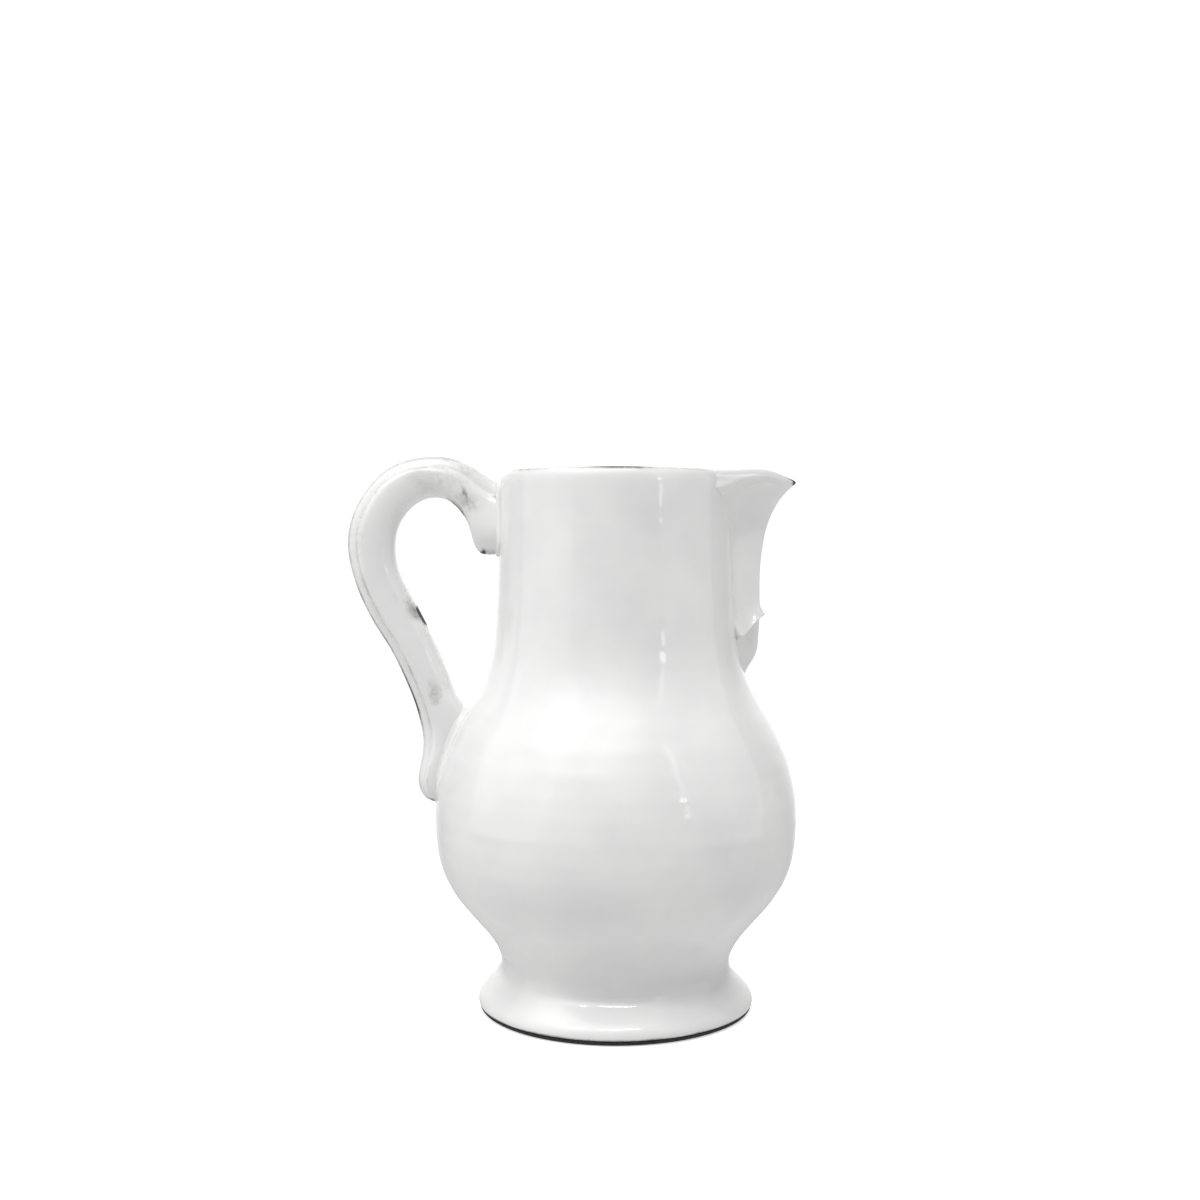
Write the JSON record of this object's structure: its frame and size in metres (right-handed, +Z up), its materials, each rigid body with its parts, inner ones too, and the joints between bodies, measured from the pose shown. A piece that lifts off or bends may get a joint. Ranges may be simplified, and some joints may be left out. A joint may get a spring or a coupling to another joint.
{
  "type": "ceramic pitcher",
  "caption": "Footed, round-bellied ceramic water pitcher with a straight neck, beak spout and tall strap handle, in milky white glaze over dark clay.",
  "frame": {"origin": "middle of the pitcher's box in plan, on the plane it stands on; the throwing axis is 18.2 mm from it towards +X", "axes": "+Z up, +X from the handle towards the spout, +Y across"},
  "size_m": [0.1879, 0.1514, 0.2314],
  "materials": {
    "white_glaze": "glossy milky tin glaze, thin and dark at the edges",
    "bare_clay": "matt unglazed near-black clay"
  },
  "bodies": {
    "root": {"body": "white_glaze", "foot": "white_glaze", "foot_slip_joint": "white_glaze", "foot_standing_edge": "bare_clay", "spout": "white_glaze", "spout_collar": "white_glaze", "spout_tail": "white_glaze", "spout_slip_joint": "white_glaze", "handle": "white_glaze", "handle_upper_slip_joint": "white_glaze", "handle_lower_slip_joint": "white_glaze"}
  },
  "joints": []
}
